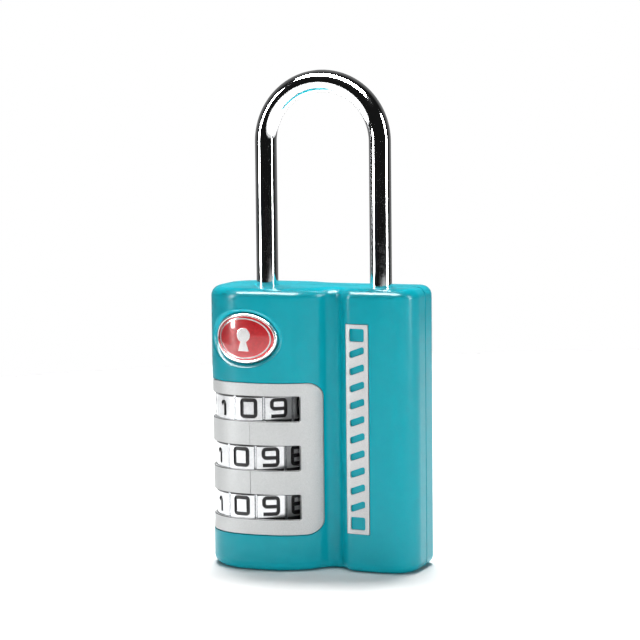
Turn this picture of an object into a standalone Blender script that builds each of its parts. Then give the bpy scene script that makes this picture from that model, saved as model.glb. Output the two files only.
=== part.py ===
"""Three-dial combination luggage padlock with a rigid U shackle and a key override.

Frame: origin at the middle of the body's base, +Z up along the shackle's lift, front facing -Y and the
dials on the -X side.
Sizes below are in millimetres; build() scales them to metres.
"""

import math

import bmesh
import bpy
from mathutils import Vector

MM = 0.001

# Body
BODY_HEIGHT = 38.8
LEFT_X = -15.1
RIGHT_X = 15.1
AXIS_Y = -0.3625  # plane of the shackle and of the dial axis; puts the middle of the thickness on Y = 0
LOBE_R = 7.15
BACK_Y = AXIS_Y + 8.0
BACK_RIGHT_Y = AXIS_Y + 6.3
EDGE_R = 1.4
WALL = 1.0
SEAM_Y = AXIS_Y + 1.62
SEAM_GAP = 0.12
PLATE = 1.2  # thickness of the body's floor and ceiling
INTERIOR_Z = (PLATE, BODY_HEIGHT - PLATE)
BACK_CORNER_R = 4.6
BACK_RIGHT_CORNER_R = 2.2
BACK_STEP_X = 1.8

# Dials
DIAL_X = LEFT_X + LOBE_R
DIAL_R = 6.7
DIAL_HEIGHT = 4.9
DIAL_PITCH = 6.75
TOP_DIAL_Z = 22.4
DIAL_Z = tuple(TOP_DIAL_Z - n * DIAL_PITCH for n in range(3))
DIAL_REST_DEG = (2.6, -8.0, -8.0)
DIGITS = 10
SLEEVE_R = 3.2
SPINDLE_R = 1.1
RESET_R = 1.6

# Fascia
FASCIA_Z = (5.1, 25.9)
FASCIA_RIGHT_X = 1.9
FASCIA_CORNER_R = 1.8
FASCIA_INSET = 0.06
FASCIA_THICKNESS = 0.3
WINDOW_HEIGHT = 3.4
WINDOW_RIGHT_X = -0.5
WINDOW_BACK_Y = AXIS_Y - 0.6
DIAL_LEDGE = 0.9  # the opening behind the fascia is this much smaller all round

# Shackle
WIRE_R = 1.5
SHORT_LEG_X = -7.25
LONG_LEG_X = 9.3
SPRING_Z = 58.5  # where the legs meet the bow
SHORT_LEG_END = 31.5
LONG_LEG_END = 21.6
SHACKLE_LIFT = 9.0
LATCH_Z = 34.4
LATCH_BITE = 0.7
LEG_CHAMFER = 0.35
STOP_PIN_Z = 33.0
STOP_PIN_R = 0.6
STOP_FLAT_DEPTH = 0.5

# Key cylinder
KEY_X = 9.7
KEY_Y = 0.4
PLUG_R = 2.4
BARREL_R = 3.5
CAM_PIN_RADIUS = 1.7  # from the plug's axis to the pin
CAM_PIN_R = 0.5
CAM_REST_DEG = -45.0
CAM_SCREW_R = 0.5

# Trim and fasteners
RIVETS = ((2.9, 3.4, -2.4), (2.9, 28.6, -2.4), (12.7, 24.0, -3.2))  # x, z and the Y of the boss root
RIVET_R = 0.7
RIVET_HEAD_R = 1.0
RIVET_HEAD_HEIGHT = 0.35
RIVET_TIP_Y = -1.6
BOSS_R = 1.35
BADGE_X = -8.15
BADGE_Z = 32.0
BADGE_HALF = (4.8, 3.45)
BADGE_RIM = 0.5
BADGE_BACK_Y = AXIS_Y - 3.0
INLAY_X = (5.6, 8.9)
INLAY_Z = (5.4, 34.0)

FIT = 0.1  # clearance between neighbouring pieces
FAR = 30.0  # reach of a cutter beyond the body
FRONT_Y = AXIS_Y - 9.0  # a plane in front of everything

MATERIALS = {
    "shell_teal": ((0.010, 0.270, 0.335), 0.32, 0.0),
    "fascia_silver": ((0.62, 0.63, 0.63), 0.38, 0.85),
    "chrome": ((0.80, 0.81, 0.83), 0.08, 1.0),
    "badge_silver": ((0.72, 0.72, 0.72), 0.22, 1.0),
    "badge_red": ((0.52, 0.015, 0.02), 0.20, 0.0),
    "steel": ((0.55, 0.56, 0.58), 0.30, 1.0),
    "zinc": ((0.50, 0.51, 0.53), 0.45, 1.0),
    "brass": ((0.72, 0.52, 0.22), 0.28, 1.0),
}


def make_materials():
    made = {}
    for name, (colour, roughness, metallic) in MATERIALS.items():
        mat = bpy.data.materials.new(name)
        mat.use_nodes = True
        shader = mat.node_tree.nodes["Principled BSDF"]
        shader.inputs["Base Color"].default_value = (*colour, 1.0)
        shader.inputs["Roughness"].default_value = roughness
        shader.inputs["Metallic"].default_value = metallic
        mat.diffuse_color = (*colour, 1.0)
        made[name] = mat
    return made


# Mesh helpers. Each returns a new object whose mesh is one closed body.


def add_object(name, bm, material=None, origin=(0.0, 0.0, 0.0)):
    bmesh.ops.recalc_face_normals(bm, faces=bm.faces)
    centre = Vector(origin)
    for vert in bm.verts:
        vert.co = (vert.co - centre) * MM
    mesh = bpy.data.meshes.new(name)
    bm.to_mesh(mesh)
    bm.free()
    mesh.shade_smooth()
    mesh.set_sharp_from_angle(angle=math.radians(35))
    obj = bpy.data.objects.new(name, mesh)
    obj.location = centre * MM
    bpy.context.scene.collection.objects.link(obj)
    if material:
        mesh.materials.append(MADE[material])
    return obj


def skin(name, loops, material=None, ring=False, origin=(0.0, 0.0, 0.0)):
    """Joins loops of equal length by quads; ring closes last to first, otherwise the ends get flat caps."""
    bm = bmesh.new()
    rows = [[bm.verts.new(point) for point in loop] for loop in loops]
    pairs = list(zip(rows, rows[1:]))
    if ring:
        pairs.append((rows[-1], rows[0]))
    else:
        bm.faces.new(rows[0])
        bm.faces.new(rows[-1])
    count = len(rows[0])
    for low, high in pairs:
        for i in range(count):
            j = (i + 1) % count
            bm.faces.new((low[i], low[j], high[j], high[i]))
    return add_object(name, bm, material, origin)


def circle(cx, cy, z, radius, steps):
    turns = [2 * math.pi * i / steps for i in range(steps)]
    return [(cx + radius * math.cos(t), cy + radius * math.sin(t), z) for t in turns]


def turned(name, centre, profile, material=None, steps=32, ring=False):
    """Turns a profile of (radius, z) about a vertical axis; a ring's profile closes on itself."""
    cx, cy = centre
    loops = [circle(cx, cy, z, radius, steps) for radius, z in profile]
    return skin(name, loops, material, ring, (cx, cy, 0.0))


def tube(name, centre, inner, outer, low, high, material=None, steps=32):
    profile = ((outer, low), (outer, high), (inner, high), (inner, low))
    return turned(name, centre, profile, material, steps, ring=True)


def box(name, low, high, material=None):
    (x0, y0, z0), (x1, y1, z1) = low, high
    base = ((x0, y0), (x1, y0), (x1, y1), (x0, y1))
    return skin(name, [[(x, y, z) for x, y in base] for z in (z0, z1)], material)


def prism(name, points, low, high, material=None, along="Y"):
    """Extrudes an outline drawn in X and Z along Y, or one drawn in X and Y along Z."""
    if along == "Y":
        loops = [[(x, level, z) for x, z in points] for level in (low, high)]
    else:
        loops = [[(x, y, level) for x, y in points] for level in (low, high)]
    return skin(name, loops, material)


def cylinder_y(name, x, z, radius, low, high, material=None, steps=20):
    points = [(px, pz) for px, pz, _ in circle(x, z, 0.0, radius, steps)]
    return prism(name, points, low, high, material)


def sweep(name, path, normals, binormals, radii, sides, material):
    loops = []
    for point, normal, binormal, radius in zip(path, normals, binormals, radii):
        turns = [2 * math.pi * i / sides for i in range(sides)]
        loops.append([point + radius * (math.cos(t) * normal + math.sin(t) * binormal) for t in turns])
    return skin(name, loops, material)


def coil_spring(name, centre, start, end, coil_r, wire_r, turns, material, along="Z"):
    """A helical compression spring from start to end along its axis."""
    steps = 12 * turns
    path, normals, binormals = [], [], []
    for i in range(steps + 1):
        t = 2 * math.pi * i / 12
        level = start + wire_r + (end - start - 2 * wire_r) * i / steps
        outward = Vector((math.cos(t), math.sin(t), 0.0))
        point = coil_r * outward + Vector((0.0, 0.0, level))
        path.append(point)
        normals.append(outward)
        binormals.append(Vector((0.0, 0.0, 1.0)))
    if along == "X":
        rows = (path, normals, binormals)
        path, normals, binormals = ([Vector((v.z, v.x, v.y)) for v in row] for row in rows)
    offset = Vector(centre)
    path = [point + offset for point in path]
    return sweep(name, path, normals, binormals, [wire_r] * len(path), 6, material)


def combine(obj, operation, *others):
    """Booleans obj with the other solids, which stay in the scene as hidden guides."""
    for other in others:
        modifier = obj.modifiers.new(other.name, "BOOLEAN")
        modifier.operation = operation
        modifier.solver = "EXACT"
        modifier.object = other
        other.hide_render = True
        other.display_type = "WIRE"
    return obj


def cut(obj, *others):
    return combine(obj, "DIFFERENCE", *others)


def join(obj, *others):
    return combine(obj, "UNION", *others)


# Body outline, seen from above


def facing(degrees):
    """Outward normal at a heading: 0 faces -Y, 90 faces +X."""
    turn = math.radians(degrees)
    return math.sin(turn), -math.cos(turn)


def outline(inset, step=11.0):
    """The body's plan, moved inwards by inset: a full lobe round the dials, a valley and a flatter lobe."""
    wave = 30.0
    wave_r = (BACK_Y - BACK_RIGHT_Y) / 2 / (1 - math.cos(math.radians(wave)))
    route = (
        ("arc", LOBE_R, -8),
        ("arc", 20.0, 5),
        ("arc", 8.6, 58),
        ("arc", -1.5, -58),
        ("arc", 2.5, -8),
        ("arc", 22.0, 6),
        ("corner", RIGHT_X, 90),
        ("to_y", BACK_RIGHT_Y - BACK_RIGHT_CORNER_R, 90),
        ("arc", BACK_RIGHT_CORNER_R, 180),
        ("to_x", BACK_STEP_X, 180),
        ("arc", -wave_r, 180 - wave),
        ("arc", wave_r, 180),
        ("to_x", LEFT_X + BACK_CORNER_R, 180),
        ("arc", BACK_CORNER_R, 270),
    )
    x, y, heading = LEFT_X, AXIS_Y, -90.0
    points = [(x + inset, y)]
    for kind, value, end in route:
        nx, ny = facing(heading)
        if kind == "to_x":
            x = value
            points.append((x - inset * nx, y - inset * ny))
            continue
        if kind == "to_y":
            y = value
            points.append((x - inset * nx, y - inset * ny))
            continue
        radius = value
        if kind == "corner":
            radius = (value - x) / (1 - nx)
        cx, cy = x - radius * nx, y - radius * ny
        steps = max(2, math.ceil(abs(end - heading) / step))
        for i in range(1, steps + 1):
            mx, my = facing(heading + (end - heading) * i / steps)
            points.append((cx + (radius - inset) * mx, cy + (radius - inset) * my))
        x, y, heading = cx + radius * mx, cy + radius * my, float(end)
    return points


def at_height(points, z):
    return [(x, y, z) for x, y in points]


def body_block(name, material=None):
    """The solid body with rounded top and bottom edges."""
    turns = [math.radians(degrees) for degrees in (0, 30, 60, 90)]
    edge = [(EDGE_R * (1 - math.sin(t)), EDGE_R * (1 - math.cos(t))) for t in turns]
    loops = [at_height(outline(inset), z) for inset, z in edge]
    loops += [at_height(outline(inset), BODY_HEIGHT - z) for inset, z in reversed(edge)]
    return skin(name, loops, material)


def interior(name):
    return skin(name, [at_height(outline(WALL), z) for z in INTERIOR_Z])


def wall_band(name, outer_inset, inner_inset, low, high, material=None):
    """A ring that follows the body's outline between two insets."""
    outer, inner = outline(outer_inset), outline(inner_inset)
    corners = ((outer, low), (outer, high), (inner, high), (inner, low))
    loops = [at_height(points, z) for points, z in corners]
    return skin(name, loops, material, ring=True)


# Housing


def rounded_end(left, right, low, high, radius, steps=5):
    """An X-Z outline, square on the left and rounded on the right."""
    points = [(left, high), (left, low)]
    for cz, start in ((low + radius, -90), (high - radius, 0)):
        for i in range(steps + 1):
            t = math.radians(start + 90 * i / steps)
            points.append((right - radius + radius * math.cos(t), cz + radius * math.sin(t)))
    return points


def ellipse(cx, cz, half_width, half_height, steps=28):
    turns = [2 * math.pi * i / steps for i in range(steps)]
    return [(cx + half_width * math.cos(t), cz + half_height * math.sin(t)) for t in turns]


def half_space(name, y_low, y_high):
    return box(name, (-FAR, y_low, -FAR), (FAR, y_high, FAR + BODY_HEIGHT))


def well(name, centre, radius, low, high, steps=24):
    """A round cutter on a vertical axis."""
    return turned(name, centre, ((radius, low), (radius, high)), steps=steps)


def cut_base_holes(shell, side):
    """The key cylinder and the reset button come through the floor."""
    cut(shell, well(f"{side}_barrel_hole", (KEY_X, KEY_Y), BARREL_R + FIT, -1.0, 2 * PLATE, steps=32))
    cut(shell, well(f"{side}_reset_hole", (DIAL_X, AXIS_Y), RESET_R + 1.5 * FIT, -1.0, 2 * PLATE))


def front_shell():
    shell = body_block("front_shell", "shell_teal")
    cut(shell, interior("front_interior"))
    for n, (x, z, root_y) in enumerate(RIVETS):
        join(shell, cylinder_y(f"boss_{n}", x, z, BOSS_R, root_y, SEAM_Y + 1.0))
    cut(shell, half_space("front_trim", SEAM_Y - SEAM_GAP / 2, FAR))
    for n, (x, z, _) in enumerate(RIVETS):
        cut(shell, cylinder_y(f"boss_hole_{n}", x, z, RIVET_R + FIT / 2, RIVET_TIP_Y - FIT, FAR))
    cut_fascia_seat(shell)
    for n, x in enumerate((SHORT_LEG_X, LONG_LEG_X)):
        cut(shell, well(f"leg_hole_{n}", (x, AXIS_Y), WIRE_R + FIT, BODY_HEIGHT - 5.0, BODY_HEIGHT + 5.0))
    width, height = BADGE_HALF
    hole = ellipse(BADGE_X, BADGE_Z, width + FIT, height + FIT)
    cut(shell, prism("badge_hole", hole, FRONT_Y, BADGE_BACK_Y - 2 * FIT))
    cut_base_holes(shell, "front")
    pocket = wall_band("inlay_pocket", -1.0, 0.3, INLAY_Z[0] - FIT, INLAY_Z[1] + FIT)
    edge = box("inlay_pocket_edge", (INLAY_X[0] - FIT, -FAR, 0), (INLAY_X[1] + FIT, -1, FAR + BODY_HEIGHT))
    combine(pocket, "INTERSECT", edge)
    cut(shell, pocket)


def cut_fascia_seat(shell):
    """A step that the fascia lies in, and the opening behind it that the dials show through."""
    gap = 0.08
    low, high = FASCIA_Z
    depth = FASCIA_INSET + FASCIA_THICKNESS + gap
    seat = wall_band("fascia_seat", -1.0, depth, low - 2.0, high + 2.0)
    footprint = rounded_end(-FAR, FASCIA_RIGHT_X + gap, low - gap, high + gap, FASCIA_CORNER_R)
    combine(seat, "INTERSECT", prism("fascia_seat_edge", footprint, FRONT_Y, FAR))
    cut(shell, seat)
    corner = (FASCIA_RIGHT_X - DIAL_LEDGE, FAR, high - DIAL_LEDGE)
    cut(shell, box("dial_opening", (-FAR, -FAR, low + DIAL_LEDGE), corner))


def back_shell():
    shell = body_block("back_shell", "shell_teal")
    cut(shell, interior("back_interior"))
    cut(shell, half_space("back_trim", -FAR, SEAM_Y + SEAM_GAP / 2))
    low, high = FASCIA_Z[0] + DIAL_LEDGE, FASCIA_Z[1] - 0.6
    cut(shell, well("dial_room", (DIAL_X, AXIS_Y), DIAL_R + 0.12, low, high, steps=48))
    cut_base_holes(shell, "back")
    sink_y = BACK_RIGHT_Y - RIVET_HEAD_HEIGHT - FIT
    for n, (x, z, _) in enumerate(RIVETS):
        cut(shell, cylinder_y(f"rivet_hole_{n}", x, z, RIVET_R + FIT / 2, 0.0, FAR))
        cut(shell, cylinder_y(f"rivet_sink_{n}", x, z, RIVET_HEAD_R + FIT / 2, sink_y, FAR))


def housing_rivets():
    top = BACK_RIGHT_Y - FIT / 2
    for n, (x, z, _) in enumerate(RIVETS):
        rivet = cylinder_y(f"housing_rivet_{n + 1}", x, z, RIVET_R - FIT / 2, RIVET_TIP_Y, top - FIT / 2, "steel")
        head = cylinder_y(f"rivet_head_{n}", x, z, RIVET_HEAD_R - FIT / 2, top - RIVET_HEAD_HEIGHT + FIT / 2, top)
        join(rivet, head)


def dial_fascia():
    inner = FASCIA_INSET + FASCIA_THICKNESS
    plate = wall_band("dial_fascia", FASCIA_INSET, inner, *FASCIA_Z, "fascia_silver")
    footprint = rounded_end(-FAR, FASCIA_RIGHT_X, FASCIA_Z[0], FASCIA_Z[1], FASCIA_CORNER_R)
    combine(plate, "INTERSECT", prism("fascia_edge", footprint, FRONT_Y, SEAM_Y - SEAM_GAP))
    half = WINDOW_HEIGHT / 2
    for n, z in enumerate(DIAL_Z):
        cut(plate, box(f"window_{n}", (-FAR, FRONT_Y, z - half), (WINDOW_RIGHT_X, WINDOW_BACK_Y, z + half)))


def badge():
    """An oval dish that follows the lobe, with an enamel disc in it."""
    width, height = BADGE_HALF
    rim_inset, dish_inset, back_inset = 0.05, 0.7, 1.05
    low, high = BADGE_Z - height - 2.0, BADGE_Z + height + 2.0
    bezel = wall_band("badge_bezel", rim_inset, back_inset, low, high, "badge_silver")
    edge = prism("bezel_edge", ellipse(BADGE_X, BADGE_Z, width, height), FRONT_Y, BADGE_BACK_Y)
    combine(bezel, "INTERSECT", edge)
    dish = wall_band("bezel_dish", -1.0, dish_inset, low - 1.0, high + 1.0)
    inside = ellipse(BADGE_X, BADGE_Z, width - BADGE_RIM, height - BADGE_RIM)
    combine(dish, "INTERSECT", prism("bezel_dish_edge", inside, FRONT_Y, BADGE_BACK_Y))
    cut(bezel, dish)
    enamel = wall_band("badge_enamel", rim_inset + FIT, dish_inset - FIT, low, high, "badge_red")
    disc = ellipse(BADGE_X, BADGE_Z, width - BADGE_RIM - FIT, height - BADGE_RIM - FIT)
    combine(enamel, "INTERSECT", prism("enamel_edge", disc, FRONT_Y, BADGE_BACK_Y))


def side_inlay():
    """A silver ladder strip let into the flatter lobe."""
    strip = wall_band("side_inlay", -0.05, 0.22, *INLAY_Z, "fascia_silver")
    combine(strip, "INTERSECT", box("inlay_edge", (INLAY_X[0], -FAR, 0), (INLAY_X[1], -1, FAR + BODY_HEIGHT)))
    rungs = 12
    rail = 0.55
    slope = 0.8
    pitch = (INLAY_Z[1] - INLAY_Z[0] - rail) / rungs
    left, right = INLAY_X[0] + rail, INLAY_X[1] - rail
    for n in range(rungs):
        low = INLAY_Z[0] + rail + n * pitch
        high = low + pitch - rail
        lift = 0.0 if n in (0, rungs - 1) else slope
        points = ((left, low), (right, low + lift), (right, high), (left, high - lift))
        cut(strip, prism(f"inlay_gap_{n}", points, FRONT_Y, 0.0))


# Shackle and its latch


def shackle_path(steps=24):
    """Centre line from the long leg's end over the bow to the short leg's end, with outward directions."""
    radius = (LONG_LEG_X - SHORT_LEG_X) / 2
    top = Vector(((LONG_LEG_X + SHORT_LEG_X) / 2, AXIS_Y, SPRING_Z))
    path = [Vector((LONG_LEG_X, AXIS_Y, z)) for z in (LONG_LEG_END, LONG_LEG_END + LEG_CHAMFER)]
    outward = [Vector((1.0, 0.0, 0.0))] * 2
    for i in range(steps + 1):
        t = math.pi * i / steps
        radial = Vector((math.cos(t), 0.0, math.sin(t)))
        path.append(top + radius * radial)
        outward.append(radial)
    path += [Vector((SHORT_LEG_X, AXIS_Y, z)) for z in (SHORT_LEG_END + LEG_CHAMFER, SHORT_LEG_END)]
    outward += [Vector((-1.0, 0.0, 0.0))] * 2
    return path, outward


def shackle():
    path, outward = shackle_path()
    radii = [WIRE_R] * len(path)
    radii[0] = radii[-1] = WIRE_R - LEG_CHAMFER
    across = [Vector((0.0, 1.0, 0.0))] * len(path)
    bow = sweep("shackle", path, outward, across, radii, 20, "chrome")

    # The latch drops into this notch; its lower side slopes
    depth = LATCH_BITE + FIT
    floor_x = SHORT_LEG_X + WIRE_R - depth
    mouth_x = SHORT_LEG_X + WIRE_R + 0.2
    low, high = LATCH_Z - 1.35, LATCH_Z + 1.2
    notch = ((floor_x, low), (mouth_x, low - depth - 0.2), (mouth_x, high), (floor_x, high))
    cut(bow, prism("latch_notch", notch, AXIS_Y - WIRE_R - 0.5, AXIS_Y + WIRE_R + 0.5))

    # The stop pin runs along this flat and holds the long leg in
    flat_x = LONG_LEG_X + WIRE_R - STOP_FLAT_DEPTH
    low, high = STOP_PIN_Z - STOP_PIN_R - FIT - SHACKLE_LIFT, STOP_PIN_Z + STOP_PIN_R + 2 * FIT
    cut(bow, box("stop_flat", (flat_x, AXIS_Y - 2, low), (flat_x + 2, AXIS_Y + 2, high)))


def latch():
    front, back = AXIS_Y - 0.9, AXIS_Y + 0.9
    low, high = LATCH_Z - 1.0, LATCH_Z + 1.0
    tip, heel = SHORT_LEG_X + WIRE_R - LATCH_BITE, -0.5
    side = ((tip, low + LATCH_BITE), (tip + LATCH_BITE, low), (heel, low), (heel, high))
    side += ((tip + LATCH_BITE, high), (tip, high - LATCH_BITE))
    bolt = prism("latch_bolt", side, front, back, "steel")
    join(bolt, box("latch_tab", (heel - 1.5, AXIS_Y, LATCH_Z - 0.5), (heel - 0.3, 2.6, LATCH_Z + 0.5)))
    trough_end = 4.8
    start = (0.0, AXIS_Y, LATCH_Z)
    coil_spring("latch_spring", start, heel + FIT, trough_end - FIT, 0.68, 0.14, 8, "steel", along="X")

    guide = box("latch_guide", (-10.3, -2.86, 30.9), (-4.4, 2.14, 36.9), "zinc")
    join(guide, box("guide_trough", (-5.0, -1.76, 31.0), (trough_end + 1.0, 1.34, 35.6)))
    cut(guide, well("guide_bore", (SHORT_LEG_X, AXIS_Y), WIRE_R + FIT, SHORT_LEG_END - 0.4, BODY_HEIGHT))
    channel = (front - FIT, back + FIT)
    cut(guide, box("guide_channel", (SHORT_LEG_X, channel[0], low - FIT), (-4.3, channel[1], high + FIT)))
    cut(guide, box("trough_channel", (-4.6, channel[0], low - FIT), (trough_end, channel[1], BODY_HEIGHT)))
    cut(guide, box("tab_slot", (-2.2, AXIS_Y, LATCH_Z - 0.7), (3.3, 3.0, BODY_HEIGHT)))


def shackle_fittings():
    leg = (LONG_LEG_X, AXIS_Y)
    seat_z = (15.8, 16.2)
    tube("leg_bush", leg, WIRE_R + FIT, 2.35, 34.2, INTERIOR_Z[1] - 0.2, "brass", steps=24)
    pin_x = LONG_LEG_X + WIRE_R - STOP_FLAT_DEPTH + STOP_PIN_R + FIT + 0.05
    cylinder_y("shackle_stop_pin", pin_x, STOP_PIN_Z, STOP_PIN_R, -3.4, 4.6, "steel")
    start = (LONG_LEG_X, AXIS_Y, 0.0)
    coil_spring("shackle_spring", start, seat_z[1] + FIT, LONG_LEG_END - FIT, 1.2, 0.22, 7, "steel")
    box("spring_seat", (6.9, -2.9, seat_z[0]), (12.8, 1.5, seat_z[1]), "zinc")


# Dial stack


def dial_wheels():
    """Chromed wheels with a groove between neighbouring digits."""
    per_digit = 6
    steps = DIGITS * per_digit
    half = DIAL_HEIGHT / 2
    bevel = 0.35
    groove = 0.3
    bore = SLEEVE_R + 0.15
    key_reach, key_half = SLEEVE_R + 0.55, 0.7
    for n, (z, rest) in enumerate(zip(DIAL_Z, DIAL_REST_DEG)):
        loops = []
        for level_z, sunk in ((-half, bevel), (bevel - half, 0.0), (half - bevel, 0.0), (half, bevel)):
            loop = []
            for i in range(steps):
                nx, ny = facing(rest + 360.0 * i / steps)
                radius = DIAL_R - sunk
                if i % per_digit == per_digit // 2:
                    radius = DIAL_R - max(sunk, groove)
                loop.append((DIAL_X + radius * nx, AXIS_Y + radius * ny, z + level_z))
            loops.append(loop)
        wheel = skin(f"dial_wheel_{n + 1}", loops, "chrome", origin=(DIAL_X, AXIS_Y, z))
        low, high = z - half - 1, z + half + 1
        cut(wheel, well(f"dial_bore_{n}", (DIAL_X, AXIS_Y), bore, low, high, steps=32))
        corner_a = (DIAL_X - key_reach, AXIS_Y - key_half, low)
        corner_b = (DIAL_X + key_reach, AXIS_Y + key_half, high)
        cut(wheel, box(f"dial_keyway_{n}", corner_a, corner_b))


def dial_sleeves():
    """Code sleeves, keyed to their dials outside; a spindle fin has to pass the gate in each flange."""
    centre = (DIAL_X, AXIS_Y)
    half = 3.1
    bore = 2.3
    flange = 1.4
    for n, z in enumerate(DIAL_Z):
        profile = ((SLEEVE_R, z - half), (SLEEVE_R, z + half), (bore, z + half), (bore, z + 2.0))
        profile += ((flange, z + 2.0), (flange, z + 1.0), (bore, z + 1.0), (bore, z - half))
        sleeve = turned(f"dial_sleeve_{n + 1}", centre, profile, "brass", ring=True)
        for side in (-1, 1):
            near, far = sorted((DIAL_X + side * (SLEEVE_R - 0.3), DIAL_X + side * (SLEEVE_R + 0.4)))
            corners = ((near, AXIS_Y - 0.55, z - 2.0), (far, AXIS_Y + 0.55, z + 1.0))
            join(sleeve, box(f"sleeve_key_{n}_{side}", *corners))
        gate = box(f"sleeve_gate_{n}", (DIAL_X - 0.6, AXIS_Y - 2.6, z + 0.5), (DIAL_X + 0.6, AXIS_Y, z + 2.5))
        cut(sleeve, gate)


def spindle():
    centre = (DIAL_X, AXIS_Y)
    shaft = turned("locking_spindle", centre, ((SPINDLE_R, 4.0), (SPINDLE_R, 30.3)), "steel", steps=24)
    for n, z in enumerate(DIAL_Z):
        join(shaft, box(f"fin_{n}", (DIAL_X, AXIS_Y - 0.4, z - 0.6), (DIAL_X + 2.0, AXIS_Y + 0.4, z + 0.4)))
    tube("upper_bearing", centre, SPINDLE_R + 1.5 * FIT, 5.9, 28.6, 30.0, "zinc", steps=40)
    tube("lower_bearing", centre, RESET_R + 1.5 * FIT, 5.5, 2.9, 4.3, "zinc", steps=40)
    plate_half = 0.45
    for n in range(2):
        middle = (DIAL_Z[n] + DIAL_Z[n + 1]) / 2
        low, high = middle - plate_half, middle + plate_half
        tube(f"divider_plate_{n + 1}", centre, SLEEVE_R + 0.55, DIAL_R - FIT, low, high, "steel", steps=40)


def reset_parts():
    """The button lifts all three sleeves when it is pressed, and a spring on top of them brings it back."""
    centre = (DIAL_X, AXIS_Y)
    head_r = 2.9
    profile = ((RESET_R, 0.5), (RESET_R, 4.6), (head_r, 4.6), (head_r, 5.6))
    button = turned("reset_button", centre, profile, "steel")
    cut(button, well("button_bore", centre, SPINDLE_R + 1.5 * FIT, 2.4, 9.0))
    cut(button, well("button_dimple", centre, 0.6, -1.0, 0.9))
    start = (DIAL_X, AXIS_Y, 0.0)
    coil_spring("reset_spring", start, DIAL_Z[0] + 3.15, 28.5, 2.5, 0.25, 3, "steel")


def detent_spring():
    """A leaf on the inner side of the dials, with a blunt finger for each one."""
    leaf = box("detent_spring", (0.3, AXIS_Y - 2.0, 5.2), (0.6, AXIS_Y + 2.0, 26.0), "steel")
    root = 0.4
    reach = DIAL_X + DIAL_R + 0.12
    for n, z in enumerate(DIAL_Z):
        points = ((root, AXIS_Y - 1.1), (root, AXIS_Y + 1.1), (reach, AXIS_Y + 0.2), (reach, AXIS_Y - 0.2))
        join(leaf, prism(f"detent_finger_{n}", points, z - 0.8, z + 0.8, along="Z"))


# Key override


def around_key(name, half_x, half_y, low, high, material=None):
    """A box centred on the key cylinder's axis."""
    return box(name, (KEY_X - half_x, KEY_Y - half_y, low), (KEY_X + half_x, KEY_Y + half_y, high), material)


def key_cylinder():
    centre = (KEY_X, KEY_Y)
    barrel = tube("cylinder_barrel", centre, PLUG_R + FIT, BARREL_R, 0.4, 12.5, "brass")
    cut(barrel, around_key("barrel_groove", 3.0, 1.1, 1.6, 11.5))
    plug = turned("key_plug", centre, ((PLUG_R - 0.3, 0.5), (PLUG_R, 0.8), (PLUG_R, 12.6)), "brass")
    cut(plug, around_key("keyway", 1.6, 0.4, -1.0, 9.2))
    cut(plug, well("screw_hole", centre, CAM_SCREW_R + FIT, 10.0, 14.0, steps=16))
    first_z, pitch = 2.6, 1.8
    for n in range(4):
        z = first_z + pitch * n
        cut(plug, around_key(f"wafer_slot_{n}", 3.0, 1.1, z - 0.35, z + 0.35))
        wafer = around_key(f"wafer_{n + 1}", 2.0, 1.0, z - 0.25, z + 0.25, "brass")
        cut(wafer, around_key(f"wafer_hole_{n}", 1.1, 0.5, z - 1.0, z + 1.0))


def cam_pin_offset(degrees):
    turn = math.radians(degrees)
    return CAM_PIN_RADIUS * math.sin(turn), CAM_PIN_RADIUS * math.cos(turn)


def plug_cam():
    centre = (KEY_X, KEY_Y)
    low, high = 12.75, 13.75
    cam = turned("plug_cam", centre, ((2.6, low), (2.6, high)), "steel")
    pin_x, pin_y = cam_pin_offset(CAM_REST_DEG)
    pin = (KEY_X + pin_x, KEY_Y + pin_y)
    join(cam, turned("cam_pin", pin, ((CAM_PIN_R, high - 0.55), (CAM_PIN_R, high + 1.9)), steps=16))
    cut(cam, well("cam_hole", centre, CAM_SCREW_R + FIT, 10.0, 16.0, steps=16))
    head_r, head_z = 1.05, (high + FIT, high + 0.75)
    profile = ((CAM_SCREW_R, 10.1), (CAM_SCREW_R, head_z[0]), (head_r, head_z[0]), (head_r, head_z[1]))
    turned("cam_screw", centre, profile, "steel", steps=16)


def release_slide():
    """The cam pin drives its foot in X; its hook then draws the latch by the tab."""
    slide = box("release_slide", (4.2, 0.5, 14.9), (10.6, 3.9, 15.5), "steel")
    top_z = (LATCH_Z - 0.7, LATCH_Z + 0.5)
    join(slide, box("slide_upright", (4.2, 2.1, 15.2), (6.6, 3.5, top_z[1])))
    join(slide, box("slide_arm", (-5.3, 2.8, top_z[0]), (6.0, 3.55, top_z[1])))
    join(slide, box("slide_hook", (-5.3, 2.25, top_z[0]), (-4.5, 3.2, top_z[1])))
    reach = CAM_PIN_R + 0.15
    pin_x, pin_y = cam_pin_offset(CAM_REST_DEG)
    low = (KEY_X + pin_x - reach, KEY_Y + pin_y - reach, 14.0)
    high = (KEY_X + pin_x + reach, KEY_Y + CAM_PIN_RADIUS + reach, 16.5)
    cut(slide, box("pin_slot", low, high))


def build():
    front_shell()
    back_shell()
    housing_rivets()
    dial_fascia()
    badge()
    side_inlay()
    shackle()
    latch()
    shackle_fittings()
    dial_wheels()
    dial_sleeves()
    spindle()
    reset_parts()
    detent_spring()
    key_cylinder()
    plug_cam()
    release_slide()


for old in list(bpy.data.objects):
    bpy.data.objects.remove(old, do_unlink=True)
MADE = make_materials()
build()
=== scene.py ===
"""Looks of a three-dial luggage padlock: finer shells, dials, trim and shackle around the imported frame.

Sizes here are in millimetres, taken from the frame's nodes where it holds them; objects are made in metres.
"""

import math

import bmesh
import bpy
import numpy as np
from mathutils import Matrix, Vector


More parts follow.
